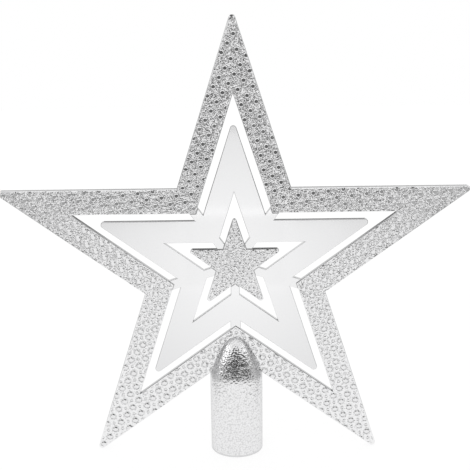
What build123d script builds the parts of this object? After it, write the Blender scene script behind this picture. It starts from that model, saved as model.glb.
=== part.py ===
"""Christmas tree topper: three nested five-pointed stars on a push-on socket, in millimetres.

The origin is the centre of the socket's mouth. +Z runs up the socket and the stars, -Y is the front
and +X is the right as seen from the front.
"""

import os
from math import cos, radians, sin, tan

from build123d import *

# Outlines of the stars, from the inside out. Bars and gaps are measured square to the straight edges.
star_arms = 5
inner_tip_circle = 22.25  # star centre to the inner star's tips before they are rounded
inner_gap = 2.9
middle_bar = 9.7
outer_gap = 3.1
outer_bar = 10.8
inner_tip_round = 1.0
middle_tip_round = 1.4
outer_tip_round = 1.35

# Thicknesses
outer_half_plate = 1.4
middle_plate = 2.4
inner_half_plate = 1.4
edge_round = 0.3

# Webs of the middle star and the tongues at their ends
outer_web_width = 4.4
inner_web_width = 3.8
tongue_thickness = 1.2
tongue_shoulder = 0.8
outer_tongue_length = 6.0
inner_tongue_length = 3.8
fit_clearance = 0.05  # on each side of a tongue, a peg or the notch in the socket's slot

# Pegs that line up the two halves of an embossed star
outer_peg_radius = 1.0
inner_peg_radius = 0.8
peg_height = 0.8
outer_peg_place_share = 0.3  # of the way from the window's tip to the star's tip
inner_peg_place_share = 0.5  # of the way from the star's centre to its tip
peg_arms = (1, 2)  # arms with pegs on a front half, counted clockwise from the top arm

# Socket
socket_radius = 11.5
socket_wall = 1.5
socket_length = 35.6  # mouth to the foot of the nose
nose_height = 17.1
star_seat = 0.3  # rise from the foot of the nose to where the star's lower edges leave the socket
rim_round = 0.4

half_turn = 180
quarter_turn = 90
notch_step = half_turn / star_arms
arm_step = 2 * notch_step
notch_angle = quarter_turn + notch_step

# Distance of each outline's straight edges from the star's centre
inner_line = inner_tip_circle * cos(radians(arm_step))
middle_window_line = inner_line + inner_gap
middle_line = middle_window_line + middle_bar
outer_window_line = middle_line + outer_gap
outer_line = outer_window_line + outer_bar


def tip_circle(line):
    """Radius to the tips of the star whose edges lie at the given distance from its centre."""
    return line / cos(radians(arm_step))


def notch_circle(line):
    """Radius to the notches of that star."""
    return line / cos(radians(notch_step))


def star_outline(line):
    """The star's corners, from the top tip round to the left."""
    corners = []
    for arm in range(star_arms):
        tip_turn = radians(quarter_turn + arm * arm_step)
        notch_turn = radians(notch_angle + arm * arm_step)
        tip = tip_circle(line)
        notch = notch_circle(line)
        corners.append((tip * cos(tip_turn), tip * sin(tip_turn)))
        corners.append((notch * cos(notch_turn), notch * sin(notch_turn)))
    return corners


def peg_places(radius, side):
    """Peg centres at a radius on the right arms (side 1), or hole centres on the left arms (side -1)."""
    places = []
    for arm in peg_arms:
        turn = radians(quarter_turn - arm * arm_step)
        places.append((side * radius * cos(turn), radius * sin(turn)))
    return places


# The star's centre stands where its lower edges leave the socket just above the foot of the nose.
edge_drop = socket_radius * tan(radians(notch_step))
star_centre_height = socket_length + star_seat + edge_drop + notch_circle(outer_line)
star_plane = Plane(origin=(0, 0, star_centre_height), x_dir=(1, 0, 0), z_dir=(0, -1, 0))

# Each web strip starts in the middle of the middle star's bar, where the bar bends round a notch.
web_root = (notch_circle(middle_line) + notch_circle(middle_window_line)) / 2
outer_web_end = notch_circle(outer_window_line) + outer_web_width
inner_web_end = notch_circle(inner_line) / 2
outer_tongue_end = notch_circle(outer_window_line) + outer_tongue_length
inner_tongue_end = notch_circle(inner_line) - inner_tongue_length
outer_tongue_width = outer_web_width - 2 * tongue_shoulder
inner_tongue_width = inner_web_width - 2 * tongue_shoulder
outer_pocket_width = outer_tongue_width + 2 * fit_clearance
inner_pocket_width = inner_tongue_width + 2 * fit_clearance
pocket_depth = tongue_thickness / 2 + fit_clearance
peg_hole_depth = peg_height + fit_clearance

window_tip = tip_circle(outer_window_line)
outer_peg_circle = window_tip + outer_peg_place_share * (tip_circle(outer_line) - window_tip)
inner_peg_circle = inner_peg_place_share * inner_tip_circle
bore_radius = socket_radius - socket_wall

os.makedirs("parts", exist_ok=True)

# Front half of the outer star: a flat frame with rounded tips and a sharp star-shaped window.
with BuildPart() as outer_star_front:
    with BuildSketch(star_plane) as outer_frame:
        Polygon(*star_outline(outer_line), align=None)
        fillet(outer_frame.vertices().sort_by_distance((0, 0))[star_arms:], outer_tip_round)
        Polygon(*star_outline(outer_window_line), align=None, mode=Mode.SUBTRACT)
    extrude(amount=outer_half_plate)
    fillet(outer_star_front.faces().sort_by(Axis.Y)[0].edges(), edge_round)
    # Half pockets that close over the webs' tongues
    with BuildSketch(star_plane):
        with PolarLocations(outer_tongue_end / 2, star_arms, notch_angle):
            Rectangle(outer_tongue_end + 2 * fit_clearance, outer_pocket_width)
    extrude(amount=pocket_depth, mode=Mode.SUBTRACT)
    with BuildSketch(star_plane):
        with Locations(*peg_places(outer_peg_circle, -1)):
            Circle(outer_peg_radius + fit_clearance)
    extrude(amount=peg_hole_depth, mode=Mode.SUBTRACT)
    with BuildSketch(star_plane):
        with Locations(*peg_places(outer_peg_circle, 1)):
            Circle(outer_peg_radius)
    extrude(amount=-peg_height)
outer_star_front.part.label = "outer_star_front"
export_step(outer_star_front.part, "parts/outer_star_front.step")

# Back half of the outer star: the same moulding turned round, so its pegs meet the front half's holes.
with BuildPart() as outer_star_back:
    add(outer_star_front.part, rotation=(0, 0, half_turn))
outer_star_back.part.label = "outer_star_back"
export_step(outer_star_back.part, "parts/outer_star_back.step")

# Middle star: one plate whose webs end against the other two stars, with a thinner tongue past each end.
with BuildPart() as middle_star:
    with BuildSketch(star_plane) as middle_frame:
        Polygon(*star_outline(middle_line), align=None)
        fillet(middle_frame.vertices().sort_by_distance((0, 0))[star_arms:], middle_tip_round)
        Polygon(*star_outline(middle_window_line), align=None, mode=Mode.SUBTRACT)
        with PolarLocations((web_root + outer_web_end) / 2, star_arms, notch_angle):
            Rectangle(outer_web_end - web_root, outer_web_width)
        with PolarLocations((web_root + inner_web_end) / 2, star_arms, notch_angle):
            Rectangle(web_root - inner_web_end, inner_web_width)
        Polygon(*star_outline(outer_window_line - fit_clearance), align=None, mode=Mode.INTERSECT)
        Polygon(*star_outline(inner_line + fit_clearance), align=None, mode=Mode.SUBTRACT)
    extrude(amount=middle_plate / 2, both=True)
    fillet(middle_star.faces().sort_by(Axis.Y)[0].edges(), edge_round)
    fillet(middle_star.faces().sort_by(Axis.Y)[-1].edges(), edge_round)
    with BuildSketch(star_plane):
        with PolarLocations((web_root + outer_tongue_end) / 2, star_arms, notch_angle):
            Rectangle(outer_tongue_end - web_root, outer_tongue_width)
        with PolarLocations((web_root + inner_tongue_end) / 2, star_arms, notch_angle):
            Rectangle(web_root - inner_tongue_end, inner_tongue_width)
    extrude(amount=tongue_thickness / 2, both=True)
middle_star.part.label = "middle_star"
export_step(middle_star.part, "parts/middle_star.step")

# Front half of the inner star: a solid flat star with rounded tips.
with BuildPart() as inner_star_front:
    with BuildSketch(star_plane) as inner_face:
        Polygon(*star_outline(inner_line), align=None)
        fillet(inner_face.vertices().sort_by_distance((0, 0))[star_arms:], inner_tip_round)
    extrude(amount=inner_half_plate)
    fillet(inner_star_front.faces().sort_by(Axis.Y)[0].edges(), edge_round)
    # Half pockets, open at the star's notches, that close over the webs' tongues
    with BuildSketch(star_plane):
        with PolarLocations((inner_tongue_end + web_root) / 2, star_arms, notch_angle):
            Rectangle(web_root - inner_tongue_end + 2 * fit_clearance, inner_pocket_width)
    extrude(amount=pocket_depth, mode=Mode.SUBTRACT)
    with BuildSketch(star_plane):
        with Locations(*peg_places(inner_peg_circle, -1)):
            Circle(inner_peg_radius + fit_clearance)
    extrude(amount=peg_hole_depth, mode=Mode.SUBTRACT)
    with BuildSketch(star_plane):
        with Locations(*peg_places(inner_peg_circle, 1)):
            Circle(inner_peg_radius)
    extrude(amount=-peg_height)
inner_star_front.part.label = "inner_star_front"
export_step(inner_star_front.part, "parts/inner_star_front.step")

# Back half of the inner star: the same moulding turned round.
with BuildPart() as inner_star_back:
    add(inner_star_front.part, rotation=(0, 0, half_turn))
inner_star_back.part.label = "inner_star_back"
export_step(inner_star_back.part, "parts/inner_star_back.step")

# Socket: a plain round tube under a hollow parabolic nose, slotted from above for the star's lower notch.
nose_top = socket_length + nose_height
inner_nose_top = nose_top - socket_wall
with BuildPart() as socket:
    with BuildSketch(Plane.XZ):
        with BuildLine():
            Line((0, inner_nose_top), (0, nose_top))
            Bezier((0, nose_top), (socket_radius / 2, nose_top), (socket_radius, socket_length))
            Line((socket_radius, socket_length), (socket_radius, 0))
            Line((socket_radius, 0), (bore_radius, 0))
            Line((bore_radius, 0), (bore_radius, socket_length))
            Bezier((bore_radius, socket_length), (bore_radius / 2, inner_nose_top), (0, inner_nose_top))
        make_face()
    revolve(axis=Axis.Z)
    fillet(socket.faces().sort_by(Axis.Z)[0].outer_wire().edges(), rim_round)
    with BuildSketch(star_plane):
        Polygon(*star_outline(outer_line + fit_clearance), align=None)
    extrude(amount=outer_half_plate + fit_clearance, both=True, mode=Mode.SUBTRACT)
socket.part.label = "socket"
export_step(socket.part, "parts/socket.step")
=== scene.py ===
from math import cos, pi, radians, sin

import bpy
import numpy as np
from mathutils import Matrix, Vector
from mathutils.geometry import delaunay_2d_cdt
from mathutils.kdtree import KDTree


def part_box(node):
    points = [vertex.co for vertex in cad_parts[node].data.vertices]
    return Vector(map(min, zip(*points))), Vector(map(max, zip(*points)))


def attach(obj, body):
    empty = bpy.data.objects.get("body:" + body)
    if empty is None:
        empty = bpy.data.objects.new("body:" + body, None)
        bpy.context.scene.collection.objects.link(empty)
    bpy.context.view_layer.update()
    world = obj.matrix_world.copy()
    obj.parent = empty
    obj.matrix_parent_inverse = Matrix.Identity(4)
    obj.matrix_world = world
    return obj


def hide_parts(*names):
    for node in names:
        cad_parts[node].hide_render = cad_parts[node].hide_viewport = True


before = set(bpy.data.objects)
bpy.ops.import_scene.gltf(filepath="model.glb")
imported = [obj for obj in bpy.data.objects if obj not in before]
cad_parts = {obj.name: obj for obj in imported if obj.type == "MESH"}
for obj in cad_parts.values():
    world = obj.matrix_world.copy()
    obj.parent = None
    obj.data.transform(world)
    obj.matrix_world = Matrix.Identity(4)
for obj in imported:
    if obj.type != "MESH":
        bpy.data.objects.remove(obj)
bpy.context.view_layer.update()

# Outer star, front half: a flat plastic frame with five arms and a star-shaped window, moulded with a
# lattice of small rosettes on its face and plated silver. Half pockets and pegs on its flat back fit
# the tongues of the middle star and the other half, and the two are cemented together.
MM = 0.001
ARMS = 5
ARM_STEP = radians(72)
NOTCH_STEP = radians(36)
TIP_HALF_ANGLE = radians(18)
QUARTER_TURN = radians(90)
UP = QUARTER_TURN  # heading of the top arm

OUTER_LINE = 33.3756  # straight edges of the outline, mm from the star's centre
WINDOW_LINE = 22.5756
OUTER_TIP_ROUND = 1.35
HALF_PLATE = 1.4
EDGE_ROUND = 0.3
EDGE_STEP = 0.5  # spacing of the mesh along an edge
TIP_PARTS = 8
EDGE_ROUND_PARTS = 4

ROSETTE_STEPS = (4.553, 4.467)  # one lattice covers both embossed stars
ROSETTE_TURN = radians(-37.6)
ROSETTE_START = np.array([2.635, -1.70])  # a rosette of the lattice, from the star's centre
SPARE_CELLS = 3  # the lattice is laid this many cells past the tips, because it bends
BEND_START = OUTER_LINE  # the lattice bends to the left at the foot of the top arm
BEND_LENGTH = 14.0
BEND_TURN = radians(4.35)
BEND_AXIS = 16.0
DISC_RADIUS = 0.74  # flat top of the raised disc in the middle of a rosette
DISC_RISE = 0.16
RING_BEADS = 12
RING_GROOVE = 1.16  # radius of the groove between the disc and the ring of beads
RING_CREST = (1.38, 1.58)
RING_GAP = 1.46  # the gaps between the beads are deepest here
RING_FOOT = 1.78
GROUND_RING = 2.06
GROOVE_RISE = -0.12
BEAD_RISE = 0.0
BEAD_SWAY = 0.03
GROUND_RISE = -0.05
GROUND_SWAY = 0.045  # the ground between the beads is uneven by this much
EYELET_TOP = 0.30  # flat button in the middle of four rosettes, in a small ring of beads of its own
EYELET_GROOVE = 0.52
EYELET_CREST = 0.76
EYELET_FOOT = 0.98
EYELET_RISE = 0.03
EYELET_BEADS = 8
LINK_BEAD_PLACES = (-0.93, 0, 0.93)  # a row of beads across the line between two rosettes
LINK_BEAD_FOOT = 0.32
LINK_FOOT_SIDES = 6
GROUND_SINK = 0.06  # the plain rim lies this far under the plain face of the solid
EDGE_MARGIN = 0.14  # no bead is cut closer to the edge of the face than this
INSIDE_OUTLINE = 1  # the kind of filling that keeps to the inside of the given edges
MERGE_DISTANCE = 1e-7
HOLE_MARGIN = 0.0001
FACET_ANGLE = radians(3)

TONGUE_DEPTH = 0.65
OUTER_POCKET_OVERRUN = 5.8  # a pocket's cut starts this far inside the window, so that it is open there
OUTER_POCKET_END = 33.95
OUTER_POCKET_WIDTH = 2.9
OUTER_PEG_CIRCLE = 83.54
OUTER_PEG_RADIUS = 1.0
PEG_HEIGHT = 0.8
PEG_CLEARANCE = 0.05
PEG_ARMS = (1, 2)
PEG_SIDES = 32

# Painted shade: the grooves of the relief get the darkest tone.
GROOVE_PAINTED_SHADE_TONE = (0.68, 0.68, 0.685, 1)
GROUND_TONE = (0.87, 0.87, 0.875, 1)
DISC_TONE = (0.81, 0.81, 0.815, 1)
EMBOSSED_EDGE_TINT = 0.8  # how bright the plating is where it is seen edge on
EMBOSSED_CLOUDS = (220.0, 3.0)  # scale and detail of its unevenness
EMBOSSED_SHIFT = (-0.05, 0.05)
EMBOSSED_ROUGHNESS = (0.06, 0.16)

rng = np.random.default_rng(5)


def heading(turn):
    """Unit vector in the star's plane."""
    return np.array([cos(turn), sin(turn)])


def tip_reach(line, tip_round):
    """Distance from the star's centre to the end of a rounded tip."""
    return line / cos(ARM_STEP) - tip_round / sin(TIP_HALF_ANGLE) + tip_round


def star_loop(line, tip_round, parts):
    """Points round a star, anticlockwise from its top tip, with each straight edge in equal parts."""
    tip_centre = tip_reach(line, tip_round) - tip_round
    tip_parts = TIP_PARTS if tip_round else 0
    swing = np.linspace(-ARM_STEP, ARM_STEP, tip_parts + 1)
    share = (np.arange(1, parts) / parts)[:, None]
    stretches = []
    for arm in range(ARMS):
        turn = UP + arm * ARM_STEP
        arc = np.column_stack([np.cos(turn + swing), np.sin(turn + swing)])
        tip = tip_centre * heading(turn) + tip_round * arc
        notch = line / cos(NOTCH_STEP) * heading(turn + NOTCH_STEP)
        next_tip = tip_centre * heading(turn + ARM_STEP) + tip_round * heading(turn)
        stretches += [tip, tip[-1] + share * (notch - tip[-1])]
        stretches += [notch[None], notch + share * (next_tip - notch)]
    return np.vstack(stretches)


def star_level(points):
    """Edge distance of the star outline that runs through each point."""
    normals = np.array([heading(UP + arm * ARM_STEP) for arm in range(ARMS)])
    return np.sort(points @ normals.T, axis=1)[:, -2]


def circle(centre, radius, rise, count, turn=0, sway=0):
    """Points of the relief on a circle as rows of x, z, rise and how uneven the rise is."""
    turns = turn + 2 * pi * np.arange(count) / count
    places = centre + radius * np.column_stack([np.cos(turns), np.sin(turns)])
    return np.column_stack([places, np.full(count, rise), np.full(count, sway)])


def ground(centre, radius, count, turn=0):
    """Points of the uneven ground on a circle."""
    return circle(centre, radius, GROUND_RISE, count, turn, GROUND_SWAY)


def bead(centre, radius, count, turn=0):
    """Crests of beads on a circle."""
    return circle(centre, radius, BEAD_RISE, count, turn, BEAD_SWAY)


def groove(centre, radius, count, turn=0):
    """Points at the bottom of a groove on a circle."""
    return circle(centre, radius, GROOVE_RISE, count, turn)


def rosette_cell():
    """One cell of the lattice: a flat disc in a ring of beads, an eyelet and two rows of link beads."""
    middle = np.zeros(2)
    half = np.array(ROSETTE_STEPS) / 2
    between = pi / RING_BEADS
    rows = [circle(middle, 0, DISC_RISE, 1), circle(middle, DISC_RADIUS, DISC_RISE, RING_BEADS)]
    rows += [bead(middle, radius, RING_BEADS, between) for radius in RING_CREST]
    rows += [groove(middle, RING_GROOVE, RING_BEADS, between), groove(middle, RING_GAP, RING_BEADS)]
    for radius, turn in ((RING_FOOT, 0), (RING_FOOT, between), (GROUND_RING, between)):
        rows.append(ground(middle, radius, RING_BEADS, turn))
    between = pi / EYELET_BEADS
    rows += [circle(half, 0, EYELET_RISE, 1), circle(half, EYELET_TOP, EYELET_RISE, EYELET_BEADS)]
    rows.append(groove(half, EYELET_GROOVE, EYELET_BEADS, between))
    rows.append(bead(half, EYELET_CREST, EYELET_BEADS, between))
    rows += [ground(half, EYELET_CREST, EYELET_BEADS), ground(half, EYELET_FOOT, EYELET_BEADS, between)]
    for along in LINK_BEAD_PLACES:
        for place in (np.array([half[0], along]), np.array([along, half[1]])):
            rows += [bead(place, 0, 1), ground(place, LINK_BEAD_FOOT, LINK_FOOT_SIDES)]
    return np.vstack(rows)


def bent(places):
    """The lattice's places with its bend up the top arm."""
    past = places[:, 1] - BEND_START
    share = np.clip(past / BEND_LENGTH, 0, 1)
    slide = BEND_TURN * (BEND_LENGTH * share**2 / 2 + np.maximum(past - BEND_LENGTH, 0))
    lift = BEND_TURN * share * (places[:, 0] - BEND_AXIS)
    return places + np.column_stack([-slide, lift])


def rosette_field(low_line, high_line, tip_round):
    """The lattice's points inside a star's face as x, z and rise, with the ground a little uneven."""
    cell = rosette_cell()
    axes = np.array([heading(ROSETTE_TURN), heading(ROSETTE_TURN + QUARTER_TURN)])
    cell_places = cell[:, :2] @ axes
    reach = tip_reach(high_line, tip_round)
    count = int(2 * reach / min(ROSETTE_STEPS))
    field = []
    for i in range(-count, count + 1):
        for j in range(-count, count + 1):
            corner = ROSETTE_START + np.multiply(ROSETTE_STEPS, (i, j)) @ axes
            if np.hypot(*corner) > reach + SPARE_CELLS * max(ROSETTE_STEPS):
                continue
            rise = cell[:, 2] + cell[:, 3] * rng.uniform(-1, 1, len(cell))
            field.append(np.column_stack([bent(corner + cell_places), rise]))
    field = np.vstack(field)
    levels = star_level(field[:, :2])
    inside = (levels < high_line - EDGE_MARGIN) & (levels > low_line + EDGE_MARGIN)
    inside &= np.hypot(field[:, 0], field[:, 1]) < reach - EDGE_MARGIN
    return field[inside]


def loop_edges(start, count):
    """Edges of a closed loop of points that are numbered from the start."""
    return [(start + i, start + (i + 1) % count) for i in range(count)]


def fill(points, loops, hole_line):
    """Triangles over a star's face between its outline and its window, with the loose points used too."""
    edges = [edge for start, count in loops for edge in loop_edges(start, count)]
    found = delaunay_2d_cdt([Vector(p) for p in points], edges, [], INSIDE_OUTLINE, MERGE_DISTANCE)
    source = np.array([ids[0] for ids in found[3]])
    triangles = source[np.array(found[2])]
    if hole_line:
        triangles = triangles[star_level(points[triangles].mean(axis=1)) > hole_line + HOLE_MARGIN]
    return [tuple(triangle) for triangle in triangles.tolist()]


def embossed_plate(name, line, window_line, tip_round):
    """A closed half plate: relief on the front, rounded edges, flat back in the star's middle plane."""
    edge_length = line / cos(ARM_STEP) * sin(NOTCH_STEP) / cos(NOTCH_STEP)
    parts = int(edge_length / EDGE_STEP)
    bends = np.linspace(0, QUARTER_TURN, EDGE_ROUND_PARTS + 1)
    insets = [EDGE_ROUND * (1 - sin(b)) for b in bends] + [0]
    depths = [HALF_PLATE - GROUND_SINK - EDGE_ROUND * (1 - cos(b)) for b in bends] + [0]
    rims = []
    for inset in insets:
        loops = [star_loop(line - inset, tip_round - inset, parts)]
        if window_line:
            loops.append(star_loop(window_line + inset, 0, int(parts * window_line / line)))
        rims.append(loops)
    counts = [len(loop) for loop in rims[0]]
    spans = [(sum(counts[:k]), counts[k]) for k in range(len(counts))]
    rim_size = sum(counts)

    field = rosette_field(window_line + EDGE_ROUND if window_line else -line, line - EDGE_ROUND, tip_round)
    face_points = np.vstack([*rims[0], field[:, :2]])
    rises = np.concatenate([np.zeros(rim_size), field[:, 2]])
    vertices = [np.column_stack([face_points[:, 0], -depths[0] - rises, face_points[:, 1]])]
    faces = fill(face_points, spans, window_line and window_line + EDGE_ROUND)

    ring_starts = [0]
    for loops, depth in zip(rims[1:], depths[1:]):
        ring_starts.append(sum(len(v) for v in vertices))
        points = np.vstack(loops)
        vertices.append(np.column_stack([points[:, 0], np.full(rim_size, -depth), points[:, 1]]))
    for front, back in zip(ring_starts, ring_starts[1:]):
        for which, (start, count) in enumerate(spans):
            for a, b in loop_edges(start, count):
                side = (front + a, back + a, back + b, front + b)
                faces.append(side if which == 0 else side[::-1])
    flat_back = fill(np.vstack(rims[-1]), spans, window_line)
    faces += [tuple(ring_starts[-1] + i for i in face[::-1]) for face in flat_back]

    used, renumbered = np.unique(np.concatenate(faces), return_inverse=True)
    ends = np.cumsum([len(face) for face in faces])
    mesh = bpy.data.meshes.new(name)
    mesh.from_pydata(np.vstack(vertices)[used].tolist(), [], np.split(renumbered, ends[:-1]))
    mesh.validate()
    plate = bpy.data.objects.new(name, mesh)
    bpy.context.scene.collection.objects.link(plate)
    return plate


def prism(outline, near, far):
    """Closed solid with an outline in the star's plane, from the depth near to the depth far."""
    count = len(outline)
    vertices = [(x, near, z) for x, z in outline] + [(x, far, z) for x, z in outline]
    faces = [tuple(range(count)), tuple(range(2 * count - 1, count - 1, -1))]
    faces += [(i, count + i, count + (i + 1) % count, (i + 1) % count) for i in range(count)]
    return vertices, faces


def combine(target, solids, operation):
    """Cuts the solids out of the target, or joins them to it, and keeps the plain result."""
    vertices, faces = [], []
    for solid_vertices, solid_faces in solids:
        start = len(vertices)
        vertices += solid_vertices
        faces += [tuple(start + i for i in face) for face in solid_faces]
    mesh = bpy.data.meshes.new("tool")
    mesh.from_pydata(vertices, [], faces)
    tool = bpy.data.objects.new("tool", mesh)
    bpy.context.scene.collection.objects.link(tool)
    step = target.modifiers.new("step", "BOOLEAN")
    step.object = tool
    step.operation = operation
    step.solver = "MANIFOLD"
    bpy.context.view_layer.update()
    result = bpy.data.meshes.new_from_object(target.evaluated_get(bpy.context.evaluated_depsgraph_get()))
    target.modifiers.clear()
    result.materials.clear()
    old = target.data
    target.data = result
    bpy.data.meshes.remove(old)
    bpy.data.objects.remove(tool)
    bpy.data.meshes.remove(mesh)


def peg_outline(centre, radius):
    """Points round a peg or its hole."""
    turns = [2 * pi * side / PEG_SIDES for side in range(PEG_SIDES)]
    return [(centre[0] + radius * cos(t), centre[1] + radius * sin(t)) for t in turns]


def strip(turn, start, end, width):
    """Corners of a strip that runs outwards from the star's centre."""
    along, across = heading(turn), heading(turn + QUARTER_TURN) * width / 2
    return [start * along - across, end * along - across, end * along + across, start * along + across]


def fit_back(plate, pocket_start, pocket_end, pocket_width, peg_circle, peg_radius):
    """Sinks the pockets and peg holes into a half plate's flat back and adds its pegs."""
    cuts = []
    for arm in range(ARMS):
        corners = strip(UP + NOTCH_STEP + arm * ARM_STEP, pocket_start, pocket_end, pocket_width)
        cuts.append(prism(corners, -TONGUE_DEPTH, PEG_HEIGHT))
    pegs = []
    for arm in PEG_ARMS:
        place = peg_circle * heading(UP - arm * ARM_STEP)
        hole = peg_outline(place * (-1, 1), peg_radius + PEG_CLEARANCE)
        cuts.append(prism(hole, -PEG_HEIGHT - PEG_CLEARANCE, PEG_HEIGHT))
        pegs.append(prism(peg_outline(place, peg_radius), -TONGUE_DEPTH, PEG_HEIGHT))
    combine(plate, cuts, "DIFFERENCE")
    combine(plate, pegs, "UNION")


def set_in_place(plate, star_centre):
    """Brings a plate from millimetres about the star's centre into the frame, with crisp facets."""
    plate.data.transform(Matrix.Translation((0, 0, star_centre)) @ Matrix.Scale(MM, 4))
    plate.data.shade_smooth()
    plate.data.set_sharp_from_angle(angle=FACET_ANGLE)


def joined(tree, operation, first, second):
    """Two values, or a value and a number, put together by one step of arithmetic."""
    node = tree.nodes.new("ShaderNodeMath")
    node.operation = operation
    for entry, source in zip(node.inputs, (first, second)):
        if isinstance(source, (int, float)):
            entry.default_value = source
        else:
            tree.links.new(source, entry)
    return node.outputs["Value"]


def ranged(tree, source, span, levels, curve="LINEAR"):
    """A value brought from a span to the levels at the span's two ends."""
    step = tree.nodes.new("ShaderNodeMapRange")
    step.interpolation_type = curve
    step.inputs["From Min"].default_value = span[0]
    step.inputs["From Max"].default_value = span[1]
    step.inputs["To Min"].default_value = levels[0]
    step.inputs["To Max"].default_value = levels[1]
    tree.links.new(source, step.inputs["Value"])
    return step.outputs["Result"]


def silver_plating(name, edge_tint, clouds, roughness):
    """Metal plating that is rougher in some places: its nodes, their place on the piece and the clouds."""
    material = bpy.data.materials.new(name)
    material.use_nodes = True
    tree = material.node_tree
    shader = tree.nodes["Principled BSDF"]
    shader.inputs["Metallic"].default_value = 1.0
    shader.inputs["Specular Tint"].default_value = (edge_tint, edge_tint, edge_tint, 1)
    place = tree.nodes.new("ShaderNodeTexCoord").outputs["Object"]
    noise = tree.nodes.new("ShaderNodeTexNoise")
    noise.inputs["Scale"].default_value = clouds[0]
    noise.inputs["Detail"].default_value = clouds[1]
    tree.links.new(place, noise.inputs["Vector"])
    tree.links.new(ranged(tree, noise.outputs["Fac"], (0, 1), roughness), shader.inputs["Roughness"])
    return material, place, noise.outputs["Fac"]


def tone_ramp(tree, share, low_tone, high_tone):
    """Gives the plating its colour from a ramp between two tones."""
    ramp = tree.nodes.new("ShaderNodeValToRGB")
    ramp.color_ramp.elements[0].color = low_tone
    ramp.color_ramp.elements[1].color = high_tone
    tree.links.new(share, ramp.inputs["Fac"])
    tree.links.new(ramp.outputs["Color"], tree.nodes["Principled BSDF"].inputs["Base Color"])
    return ramp.color_ramp


def embossed_silver():
    """Plating over the relief: bright on the ground and duller on the discs, with painted shade that makes
    it darkest in the grooves.
    """
    material, place, clouds = silver_plating(
        "embossed_silver", EMBOSSED_EDGE_TINT, EMBOSSED_CLOUDS, EMBOSSED_ROUGHNESS
    )
    tree = material.node_tree
    split = tree.nodes.new("ShaderNodeSeparateXYZ")
    tree.links.new(place, split.inputs["Vector"])
    depth = joined(tree, "ABSOLUTE", split.outputs["Y"], 0)
    lowest = (HALF_PLATE - GROUND_SINK + GROOVE_RISE) * MM
    highest = (HALF_PLATE - GROUND_SINK + DISC_RISE) * MM
    # the tone follows the relief's height, with painted shade in the grooves
    relief = ranged(tree, depth, (lowest, highest), (0, 1))
    share = joined(tree, "ADD", relief, ranged(tree, clouds, (0, 1), EMBOSSED_SHIFT))
    tones = tone_ramp(tree, share, GROOVE_PAINTED_SHADE_TONE, DISC_TONE)
    for height in (GROUND_RISE, EYELET_RISE):
        stop = tones.elements.new((height - GROOVE_RISE) / (DISC_RISE - GROOVE_RISE))
        stop.color = GROUND_TONE
    return material


STAR_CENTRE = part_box("outer_star_front")[1].z - tip_reach(OUTER_LINE, OUTER_TIP_ROUND) * MM
embossed_plating = embossed_silver()
outer_front = embossed_plate("outer_star_front_embossed", OUTER_LINE, WINDOW_LINE, OUTER_TIP_ROUND)
outer_pocket_start = WINDOW_LINE / cos(NOTCH_STEP) - OUTER_POCKET_OVERRUN
outer_pocket = (outer_pocket_start, OUTER_POCKET_END, OUTER_POCKET_WIDTH)
fit_back(outer_front, *outer_pocket, OUTER_PEG_CIRCLE, OUTER_PEG_RADIUS)
set_in_place(outer_front, STAR_CENTRE)
outer_front.data.materials.append(embossed_plating)
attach(outer_front, "root")
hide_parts("outer_star_front")

# Outer star, back half: the same plated moulding turned round, so that its pegs meet the front half's
# holes. It is cemented to the front half all over the flat faces between them.
HALF_TURN = Matrix.Rotation(pi, 4, "Z")


def turned_round(plate, name):
    """A second plate from the same mould, facing the other way."""
    mesh = plate.data.copy()
    mesh.name = name
    mesh.transform(HALF_TURN)
    other = bpy.data.objects.new(name, mesh)
    bpy.context.scene.collection.objects.link(other)
    return other


outer_back = turned_round(outer_front, "outer_star_back_embossed")
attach(outer_back, "root")
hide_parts("outer_star_back")

# Middle star: a smooth moulded plate with ten webs, plated mirror bright. Its shape is the solid's own,
# and its tongues are held between the halves of the two embossed stars.
# Painted shade: the mirror plating's tone is brighter by the window and darker towards the tips.
MIRROR_PAINTED_SHADE_TONES = ((0.875, 0.875, 0.88, 1), (0.765, 0.765, 0.77, 1))  # by the window and at the tips
MIRROR_PAINTED_SHADE_SPAN = (14 * MM, 58 * MM)
MIRROR_EDGE_TINT = 0.75
MIRROR_CLOUDS = (45.0, 2.0)
MIRROR_ROUGHNESS = (0.06, 0.12)
WAVE_STRENGTH = 0.05
WAVE_HEIGHT = 0.0005


def mirror_silver():
    """Mirror-bright plating on a moulded face that is very slightly wavy, with painted shade that darkens
    it towards the tips.
    """
    material, place, clouds = silver_plating(
        "mirror_silver", MIRROR_EDGE_TINT, MIRROR_CLOUDS, MIRROR_ROUGHNESS
    )
    tree = material.node_tree
    reach = tree.nodes.new("ShaderNodeVectorMath")
    reach.operation = "DISTANCE"
    reach.inputs[1].default_value = (0, 0, STAR_CENTRE)
    tree.links.new(place, reach.inputs[0])
    # painted shade by distance from the star's centre
    tone_ramp(tree, ranged(tree, reach.outputs["Value"], MIRROR_PAINTED_SHADE_SPAN, (0, 1)), *MIRROR_PAINTED_SHADE_TONES)
    wave = tree.nodes.new("ShaderNodeBump")
    wave.inputs["Strength"].default_value = WAVE_STRENGTH
    wave.inputs["Distance"].default_value = WAVE_HEIGHT
    tree.links.new(clouds, wave.inputs["Height"])
    tree.links.new(wave.outputs["Normal"], tree.nodes["Principled BSDF"].inputs["Normal"])
    return material


middle_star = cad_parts["middle_star"]
middle_star.data.materials.clear()
middle_star.data.materials.append(mirror_silver())

# Inner star: two small plated half plates with the same lattice of rosettes, cemented together over the
# inner tongues of the middle star like the outer halves.
INNER_LINE = 6.8756
INNER_TIP_ROUND = 1.0
INNER_POCKET_LENGTH = 3.85  # inwards from the star's notch
INNER_POCKET_END = 12.0  # well outside the star, so that the pocket is open there
INNER_POCKET_WIDTH = 2.3
INNER_PEG_CIRCLE = 11.125
INNER_PEG_RADIUS = 0.8

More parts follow.
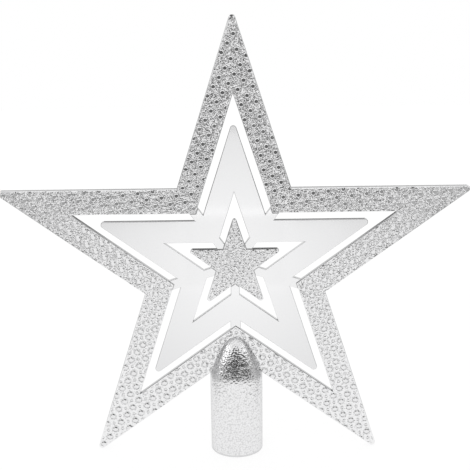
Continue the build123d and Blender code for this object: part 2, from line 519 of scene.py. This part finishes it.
inner_front = embossed_plate("inner_star_front_embossed", INNER_LINE, 0, INNER_TIP_ROUND)
inner_pocket_start = INNER_LINE / cos(NOTCH_STEP) - INNER_POCKET_LENGTH
inner_pocket = (inner_pocket_start, INNER_POCKET_END, INNER_POCKET_WIDTH)
fit_back(inner_front, *inner_pocket, INNER_PEG_CIRCLE, INNER_PEG_RADIUS)
set_in_place(inner_front, STAR_CENTRE)
inner_front.data.materials.append(embossed_plating)
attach(inner_front, "root")
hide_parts("inner_star_front")
inner_back = turned_round(inner_front, "inner_star_back_embossed")
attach(inner_back, "root")
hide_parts("inner_star_back")

# Socket: a moulded plastic tube with a hollow, pointed nose, plated silver over a fine pebbled skin. The
# nose is slotted from above and cemented over the outer star's lower notch.
SOCKET_RADIUS = 11.5
BORE_RADIUS = 10.0
SOCKET_LENGTH = 35.6
NOSE_HEIGHT = 17.1
NOSE_WALL = 1.5
NOSE_PARTS = 400
INNER_NOSE_PARTS = 14
NOSE_BLEND = 1.5  # the nose runs softly into the tube over this height to each side of its foot
RIM_ROUND = 0.4
RIM_PARTS = 4
SKIN_STEP = 0.23  # spacing of the mesh on the skin
SKIN_CREASE = radians(55)
SLOT_FIT = 0.05

PEBBLE_SPACING = 0.85
PEBBLE_STRAY = 0.4  # how far a pebble lies from its even place, in spacings
PEBBLE_RISE = (0.09, 0.20, 0.14)  # at the mouth, at the foot of the nose and on it
PEBBLE_CHANGE = 5.0  # height above the nose's foot where the pebbles have their height on the nose
PEBBLE_CROWN = 0.5  # share of a pebble's rise that stands out of the plain skin
PEBBLE_FALL = 1.3  # how fast a pebble falls away from its middle
# Painted shade: the tone is darkest this far from a pebble's middle.
PEBBLE_SHADE_REACH = 0.65  # the plating is dullest this far from a pebble's middle, in spacings

# Painted shade: the hollows between the pebbles get the darker of these tones.
PEBBLE_TONES_WITH_PAINTED_SHADE = ((0.69, 0.69, 0.695, 1), (0.87, 0.87, 0.875, 1))  # in the hollows and on the tops
PLAIN_BRIGHTNESS = 0.5  # between the two, inside the socket
# Painted shade round the rim, as dark as in the hollows, up to the height given next.
RIM_PAINTED_SHADE = -0.5  # the plating round the rim is as dull as in the hollows
RIM_SHADE_BAND = 0.9
PEBBLED_EDGE_TINT = 0.85
PEBBLED_CLOUDS = (500.0, 3.0)
PEBBLED_SHIFT = (-0.3, 0.3)
PEBBLED_ROUGHNESS = (0.05, 0.13)


def nose_curve(radius, foot, height, parts):
    """The nose's parabola from its foot to its top as rows of radius and height."""
    share = np.linspace(1, 0, parts + 1)
    return np.column_stack([radius * share, foot + height * (1 - share**2)])


def resampled(profile, step):
    """The same line in even steps."""
    lengths = np.concatenate([[0], np.cumsum(np.hypot(*np.diff(profile, axis=0).T))])
    places = np.linspace(0, lengths[-1], int(lengths[-1] / step) + 1)
    return np.column_stack([np.interp(places, lengths, profile[:, k]) for k in range(2)])


def skin_profile():
    """The skin's line from the rim up the tube, with the nose blended into it, to the top."""
    bends = np.linspace(0, QUARTER_TURN, RIM_PARTS + 1)
    rim_centre = SOCKET_RADIUS - RIM_ROUND
    rim = [(rim_centre + RIM_ROUND * sin(b), RIM_ROUND * (1 - cos(b))) for b in bends]
    tube = resampled(np.array([(SOCKET_RADIUS, RIM_ROUND), (SOCKET_RADIUS, SOCKET_LENGTH)]), SKIN_STEP)
    nose = resampled(nose_curve(SOCKET_RADIUS, SOCKET_LENGTH, NOSE_HEIGHT, NOSE_PARTS), SKIN_STEP)
    skin = np.vstack([rim, tube[1:], nose[1:]])
    past = skin[:, 1] - SOCKET_LENGTH
    draw_in = (past + NOSE_BLEND) ** 2 / (4 * NOSE_BLEND) - np.maximum(past, 0)
    foot_lean = SOCKET_RADIUS / (2 * NOSE_HEIGHT)
    skin[:, 0] -= foot_lean * np.where(np.abs(past) < NOSE_BLEND, draw_in, 0)
    return skin


def pebble_places(profile):
    """Seeded middles of the pebbles, in uneven rows up the skin."""
    rows = resampled(profile, PEBBLE_SPACING)
    places = []
    for radius, height in rows:
        count = max(1, int(2 * pi * radius / PEBBLE_SPACING))
        strays = rng.uniform(-PEBBLE_STRAY, PEBBLE_STRAY, count)
        turns = 2 * pi * (np.arange(count) + strays + rng.uniform()) / count
        heights = height + rng.uniform(-PEBBLE_STRAY, PEBBLE_STRAY, count) * PEBBLE_SPACING
        places += [(radius * cos(t), radius * sin(t), h) for t, h in zip(turns, heights)]
    return places


def socket_mesh(name):
    """The socket as a closed shell: pebbled skin outside, plain bore and hollow nose inside."""
    skin = skin_profile()
    sides = int(2 * pi * SOCKET_RADIUS / SKIN_STEP)
    turns = 2 * pi * np.arange(sides) / sides
    slopes = np.gradient(skin, axis=0)
    normals = np.column_stack([slopes[:, 1], -slopes[:, 0]])
    normals /= np.linalg.norm(normals, axis=1)[:, None]

    places = pebble_places(skin)
    finder = KDTree(len(places))
    for index, place in enumerate(places):
        finder.insert(place, index)
    finder.balance()
    rows, brightness = [], []
    for (radius, height), (out, up) in zip(skin[:-1], normals[:-1]):
        swell = np.interp(height, (0, SOCKET_LENGTH, SOCKET_LENGTH + PEBBLE_CHANGE), PEBBLE_RISE)
        row = []
        for turn in turns:
            distance = finder.find((radius * cos(turn), radius * sin(turn), height))[2]
            rise = swell * (PEBBLE_CROWN - (distance / PEBBLE_SPACING * PEBBLE_FALL) ** 2)
            # painted shade: the tone darkens away from the nearest pebble's middle
            bright = 1 - (distance / (PEBBLE_SHADE_REACH * PEBBLE_SPACING)) ** 2
            if height < RIM_ROUND + SKIN_STEP / 2:
                rise = 0
            # painted shade round the rim
            if height < RIM_SHADE_BAND:
                bright = RIM_PAINTED_SHADE
            brightness.append(bright)
            reach = radius + rise * out
            row.append((reach * cos(turn), reach * sin(turn), height + rise * up))
        rows.append(row)
    inner_nose = nose_curve(BORE_RADIUS, SOCKET_LENGTH, NOSE_HEIGHT - NOSE_WALL, INNER_NOSE_PARTS)
    inside = np.vstack([[(BORE_RADIUS, 0.0)], inner_nose[:-1]])
    inner_rows = [[(r * cos(t), r * sin(t), h) for t in turns] for r, h in inside]

    vertices = [v for row in inner_rows[::-1] + rows for v in row]
    last = (len(inner_rows) + len(rows) - 1) * sides
    inner_top, outer_top = len(vertices), len(vertices) + 1
    vertices += [(0, 0, SOCKET_LENGTH + NOSE_HEIGHT - NOSE_WALL), (0, 0, SOCKET_LENGTH + NOSE_HEIGHT)]
    faces = []
    for low in range(0, last, sides):
        high = low + sides
        for side, after in loop_edges(0, sides):
            faces.append((low + side, low + after, high + after, high + side))
    for side, after in loop_edges(0, sides):
        faces.append((after, side, inner_top))
        faces.append((last + side, last + after, outer_top))
    mesh = bpy.data.meshes.new(name)
    mesh.from_pydata(vertices, [], faces)
    plain_inside = [PLAIN_BRIGHTNESS] * (len(inner_rows) * sides)
    # the pebble attribute carries the painted shade of the hollows and round the rim
    pebble = mesh.attributes.new("pebble", "FLOAT", "POINT")
    pebble.data.foreach_set("value", plain_inside + brightness + [PLAIN_BRIGHTNESS, PLAIN_BRIGHTNESS])
    mesh.validate()
    return mesh


def pebbled_silver():
    """Bright plating over the pebbled skin, with painted shade in the hollows between the pebbles and round
    the rim.
    """
    material, place, clouds = silver_plating(
        "pebbled_silver", PEBBLED_EDGE_TINT, PEBBLED_CLOUDS, PEBBLED_ROUGHNESS
    )
    tree = material.node_tree
    pebble = tree.nodes.new("ShaderNodeAttribute")
    pebble.attribute_name = "pebble"
    shift = ranged(tree, clouds, (0, 1), PEBBLED_SHIFT)
    tone_ramp(tree, joined(tree, "ADD", pebble.outputs["Fac"], shift), *PEBBLE_TONES_WITH_PAINTED_SHADE)
    return material


socket = bpy.data.objects.new("socket_pebbled", socket_mesh("socket_pebbled"))
bpy.context.scene.collection.objects.link(socket)
star_height = STAR_CENTRE / MM
slot_outline = [(x, z + star_height) for x, z in star_loop(OUTER_LINE + SLOT_FIT, 0, 1)]
combine(socket, [prism(slot_outline, -HALF_PLATE - SLOT_FIT, HALF_PLATE + SLOT_FIT)], "DIFFERENCE")
socket.data.transform(Matrix.Scale(MM, 4))
socket.data.shade_smooth()
socket.data.set_sharp_from_angle(angle=SKIN_CREASE)
socket.data.materials.append(pebbled_silver())
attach(socket, "root")
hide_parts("socket")

# Table: a plain white top that the topper stands on. It glows a little, so that it is white to the camera
# and in the plating, and its paint takes the object's shadow.
FLOOR_REACH = 1.5
FLOOR_GAP = 0.0002
TABLE_GLOW = 0.80
TABLE_PAINT = 0.3


def white_rays(tree):
    """1 for the rays that show the white surroundings, to the camera and in plating, and 0 for the rest."""
    path = tree.nodes.new("ShaderNodeLightPath")
    shown = joined(tree, "MAXIMUM", path.outputs["Is Camera Ray"], path.outputs["Is Glossy Ray"])
    return joined(tree, "MAXIMUM", shown, path.outputs["Is Transmission Ray"])


def white_table():
    """White paint with a glow that only the camera and the plating see."""
    material = bpy.data.materials.new("white_table")
    material.use_nodes = True
    tree = material.node_tree
    tree.nodes.remove(tree.nodes["Principled BSDF"])
    glow = tree.nodes.new("ShaderNodeEmission")
    tree.links.new(joined(tree, "MULTIPLY", white_rays(tree), TABLE_GLOW), glow.inputs["Strength"])
    paint = tree.nodes.new("ShaderNodeBsdfDiffuse")
    paint.inputs["Color"].default_value = (TABLE_PAINT, TABLE_PAINT, TABLE_PAINT, 1)
    both = tree.nodes.new("ShaderNodeAddShader")
    tree.links.new(paint.outputs["BSDF"], both.inputs[0])
    tree.links.new(glow.outputs["Emission"], both.inputs[1])
    tree.links.new(both.outputs["Shader"], tree.nodes["Material Output"].inputs["Surface"])
    return material


floor_mesh = bpy.data.meshes.new("floor")
floor_corners = [(-FLOOR_REACH, -FLOOR_REACH, 0), (FLOOR_REACH, -FLOOR_REACH, 0)]
floor_corners += [(FLOOR_REACH, FLOOR_REACH, 0), (-FLOOR_REACH, FLOOR_REACH, 0)]
floor_mesh.from_pydata(floor_corners, [], [(0, 1, 2, 3)])
floor = bpy.data.objects.new("floor", floor_mesh)
floor.location.z = -FLOOR_GAP
floor.data.materials.append(white_table())
bpy.context.scene.collection.objects.link(floor)

# Tent: white all round, which is what the plating mostly reflects. Its grey walls are darkest before the
# star and behind it, where they hang higher, and a narrow band goes up furthest.
TENT_WHITE = 1.0
TENT_FILL = 0.75  # light from the tent on the table's paint, which shows the object's shadow
WALL_RADIUS = 1.3
WALL_FOOT = (0.06, 0.14)  # heights over which the walls come up from white to grey, and go back to it
WALL_TOP = (1.80, 2.00)
WALL_LIFT = (0.43, 0.28)  # how much higher the foot is before the star and behind it
WALL_LIFT_SPAN = (1.0, 1.2)
BAND_DROP = 0.78  # how much lower the top is beside the narrow band
BAND_SPAN = (0.10, 0.30)
WALL_DROP = 0.50  # and how much lower again towards the sides
WALL_DROP_SPAN = (0.3, WALL_RADIUS)
WALL_LEFT = 0.40
WALL_RIGHT = 0.36
WALL_FRONT = 0.16  # share of that grey which is left before the star and behind it
WALL_BACK = 0.5
WALL_SIDES = 64

world = bpy.data.worlds.new("tent")
bpy.context.scene.world = world
world.use_nodes = True
tent = world.node_tree
tent_light = tent.nodes["Background"]
tent_light.inputs["Color"].default_value = (TENT_WHITE, TENT_WHITE, TENT_WHITE, 1)
tent.links.new(joined(tent, "MAXIMUM", white_rays(tent), TENT_FILL), tent_light.inputs["Strength"])


def soft_step(tree, source, span, from_level, to_level):
    """A soft step of a value from one level to another."""
    return ranged(tree, source, span, (from_level, to_level), "SMOOTHSTEP")


def shade_card(name, corners, faces, level):
    """Part of the surroundings that only shows in plating, with its brightness from its own coordinates."""
    mesh = bpy.data.meshes.new(name)
    mesh.from_pydata(corners, [], faces)
    material = bpy.data.materials.new(name)
    material.use_nodes = True
    tree = material.node_tree
    tree.nodes.remove(tree.nodes["Principled BSDF"])
    place = tree.nodes.new("ShaderNodeTexCoord")
    split = tree.nodes.new("ShaderNodeSeparateXYZ")
    tree.links.new(place.outputs["Object"], split.inputs["Vector"])
    glow = tree.nodes.new("ShaderNodeEmission")
    tree.links.new(level(tree, *split.outputs), glow.inputs["Strength"])
    tree.links.new(glow.outputs["Emission"], tree.nodes["Material Output"].inputs["Surface"])
    mesh.materials.append(material)
    card = bpy.data.objects.new(name, mesh)
    card.visible_camera = False
    card.visible_diffuse = False
    card.visible_shadow = False
    bpy.context.scene.collection.objects.link(card)


def wall_level(tree, across, along, height):
    """Brightness of the walls: grey from their foot to their top and white above and below."""
    sides = soft_step(tree, across, (-WALL_RADIUS, WALL_RADIUS), WALL_LEFT, WALL_RIGHT)
    front = soft_step(tree, along, (-WALL_RADIUS, 0), WALL_FRONT, 1)
    back = soft_step(tree, along, (0, WALL_RADIUS), 1, WALL_BACK)
    grey = joined(tree, "MULTIPLY", sides, joined(tree, "MULTIPLY", front, back))
    ahead = joined(tree, "MULTIPLY", along, -1)
    front_lift = soft_step(tree, ahead, WALL_LIFT_SPAN, 0, WALL_LIFT[0])
    lift = joined(tree, "ADD", front_lift, soft_step(tree, along, WALL_LIFT_SPAN, 0, WALL_LIFT[1]))
    aside = joined(tree, "ABSOLUTE", across, 0)
    band_drop = soft_step(tree, aside, BAND_SPAN, 0, BAND_DROP)
    drop = joined(tree, "ADD", band_drop, soft_step(tree, aside, WALL_DROP_SPAN, 0, WALL_DROP))
    foot = soft_step(tree, joined(tree, "SUBTRACT", height, lift), WALL_FOOT, TENT_WHITE, 0)
    top = soft_step(tree, joined(tree, "ADD", height, drop), WALL_TOP, 0, TENT_WHITE)
    return joined(tree, "MAXIMUM", joined(tree, "MAXIMUM", foot, top), grey)


wall_corners = []
wall_faces = []
for side, after in loop_edges(0, WALL_SIDES):
    across, along = WALL_RADIUS * heading(2 * pi * side / WALL_SIDES)
    wall_corners += [(across, along, WALL_FOOT[0]), (across, along, WALL_TOP[1])]
    wall_faces.append((2 * side, 2 * after, 2 * after + 1, 2 * side + 1))
shade_card("grey_walls", wall_corners, wall_faces, wall_level)

# Cards and mats: a dark pillar and a dark strip stand before the star and show in its level faces, with a
# pale apron under the strip's middle for the inner star. Grey mats lie on the table to both sides.
PILLAR_PLACE = -0.5
PILLAR_REACH = 0.062
PILLAR_SIDES = (0.040, 0.062)
PILLAR_SPAN = (0, 0, 0.19, 0.22)
PILLAR_DARK = (0.10, 1.0)  # in the middle and at the sides
STRIP_PLACE = -0.25
STRIP_REACH = 0.20
STRIP_SIDES = (0.04, 0.17)
STRIP_SPAN = (0.0535, 0.0565, 0.1115, 0.1145)
STRIP_DARK = (0.12, 0.50)
APRON_REACH = 0.036
APRON_SIDES = (0, APRON_REACH)
APRON_SPAN = (0.0, 0.0, 0.0534, 0.0535)
APRON_DARK = (0.86, 0.86)
MAT_EDGE = (0.10, 0.14)
MAT_SLANT = 0.12  # the mats are further apart towards the front
MAT_END = (0.70, 0.90)
MAT_DEPTH = (-1.2, 0.3)
MAT_HEIGHT = 0.001
MAT_GREY = 0.60


def dark_card(name, place, reach, sides, span, dark):
    """A dark card that faces the star, lighter towards its sides."""

    def card_level(tree, across, along, height):
        """Brightness of the card: dark between its foot and its top and white above and below."""
        level = soft_step(tree, joined(tree, "ABSOLUTE", across, 0), sides, *dark)
        top = soft_step(tree, height, span[2:], 0, TENT_WHITE)
        foot = soft_step(tree, height, span[:2], TENT_WHITE, 0)
        return joined(tree, "MAXIMUM", level, joined(tree, "MAXIMUM", top, foot))

    corners = [(x, place, z) for z in (span[0], span[3]) for x in (-reach, reach)]
    shade_card(name, corners, [(0, 1, 3, 2)], card_level)


dark_card("dark_pillar", PILLAR_PLACE, PILLAR_REACH, PILLAR_SIDES, PILLAR_SPAN, PILLAR_DARK)
dark_card("dark_strip", STRIP_PLACE, STRIP_REACH, STRIP_SIDES, STRIP_SPAN, STRIP_DARK)
dark_card("grey_apron", STRIP_PLACE, APRON_REACH, APRON_SIDES, APRON_SPAN, APRON_DARK)


def mat_level(tree, across, along, height):
    """Brightness of the mats: grey, and white at their inner edges and outer ends."""
    aside = joined(tree, "ABSOLUTE", across, 0)
    slanted = joined(tree, "ADD", aside, joined(tree, "MULTIPLY", along, MAT_SLANT))
    inner = soft_step(tree, slanted, MAT_EDGE, TENT_WHITE, MAT_GREY)
    return joined(tree, "MAXIMUM", inner, soft_step(tree, aside, MAT_END, 0, TENT_WHITE))


for side in (-1, 1):
    mat_corners = []
    for x, y in ((0, 0), (1, 0), (1, 1), (0, 1)):
        mat_corners.append((side * (MAT_EDGE[0], MAT_END[1])[x], MAT_DEPTH[y], MAT_HEIGHT))
    shade_card(f"side_mat_{(1 + side) // 2}", mat_corners, [range(4)], mat_level)

# Lamps: one soft panel to the left lights every piece. The middle star has fills of its own that make up
# for the cards, and the socket has two lights for the highlights on its nose.
LEFT_PANEL_PLACE = (-0.9, -0.28, 0.5)
LEFT_PANEL_TARGET = (0, 0, 0.08)
LEFT_PANEL_SIZE = (0.8, 0.4)
LEFT_PANEL_LEVEL = 0.25
FILL_GAP = 0.005
FILL_LEVEL = 0.92
FILLS = (
    ("pillar_fill", PILLAR_PLACE, PILLAR_SIDES[0], (0.06, 0.105), FILL_LEVEL),
    ("strip_fill", STRIP_PLACE, STRIP_SIDES[0], (0.055, 0.113), FILL_LEVEL),
    ("apron_fill", STRIP_PLACE, APRON_REACH, (APRON_SPAN[0], APRON_SPAN[3]), TENT_WHITE - APRON_DARK[0]),
)
NOSE_LIGHTS = (
    ("left_nose_light", (-0.75, 0.15, 0.42), (0.7, 0.5), 0.85),
    ("right_nose_light", (0.75, 0.15, 0.42), (0.7, 0.5), 0.50),
)


def lamp_panel(name, place, target, width, height, brightness):
    """A lamp panel of an even brightness, seen in plating but not by the camera."""
    lamp = bpy.data.lights.new(name, "AREA")
    lamp.shape = "RECTANGLE"
    lamp.size = width
    lamp.size_y = height
    lamp.energy = pi * width * height * brightness
    panel = bpy.data.objects.new(name, lamp)
    panel.location = place
    panel.rotation_euler = (Vector(target) - Vector(place)).to_track_quat("-Z", "Y").to_euler()
    panel.visible_camera = False
    bpy.context.scene.collection.objects.link(panel)
    return panel


lamp_panel("left_panel", LEFT_PANEL_PLACE, LEFT_PANEL_TARGET, *LEFT_PANEL_SIZE, LEFT_PANEL_LEVEL)

smooth_pieces = bpy.data.collections.new("smooth_pieces")
smooth_pieces.objects.link(middle_star)
for fill_name, place, half_width, (low, high), level in FILLS:
    middle = (low + high) / 2
    fill_place = (0, place + FILL_GAP, middle)
    fill_panel = lamp_panel(fill_name, fill_place, (0, 0, middle), 2 * half_width, high - low, level)
    fill_panel.light_linking.receiver_collection = smooth_pieces

pebbled_pieces = bpy.data.collections.new("pebbled_pieces")
pebbled_pieces.objects.link(socket)
nose_middle = (0, 0, (SOCKET_LENGTH + NOSE_HEIGHT / 2) * MM)
for light_name, place, panel_size, level in NOSE_LIGHTS:
    nose_light = lamp_panel(light_name, place, nose_middle, *panel_size, level)
    nose_light.light_linking.receiver_collection = pebbled_pieces

# Camera: before the star and level with its top tip, where the photo was taken from, aimed down at it.
# Its place, aim and lens were fitted to the outlines of the stars.
CAMERA_PLACE = (-0.0002, -0.38602, 0.19180)
CAMERA_DROP = radians(13.61)
CAMERA_ROLL = radians(-0.714)
CAMERA_TURN = radians(-0.06)
LENS = 70.97
SENSOR_WIDTH = 36
NEAREST_VIEW = 0.01
camera = bpy.data.objects.new("camera", bpy.data.cameras.new("camera"))
camera.data.lens = LENS
camera.data.sensor_width = SENSOR_WIDTH
camera.data.clip_start = NEAREST_VIEW
aim = Matrix.Rotation(CAMERA_TURN, 4, "Z") @ Matrix.Rotation(QUARTER_TURN - CAMERA_DROP, 4, "X")
camera.matrix_world = Matrix.Translation(CAMERA_PLACE) @ aim @ Matrix.Rotation(CAMERA_ROLL, 4, "Z")
bpy.context.scene.collection.objects.link(camera)
bpy.context.scene.camera = camera
bpy.context.scene.view_settings.view_transform = "Standard"
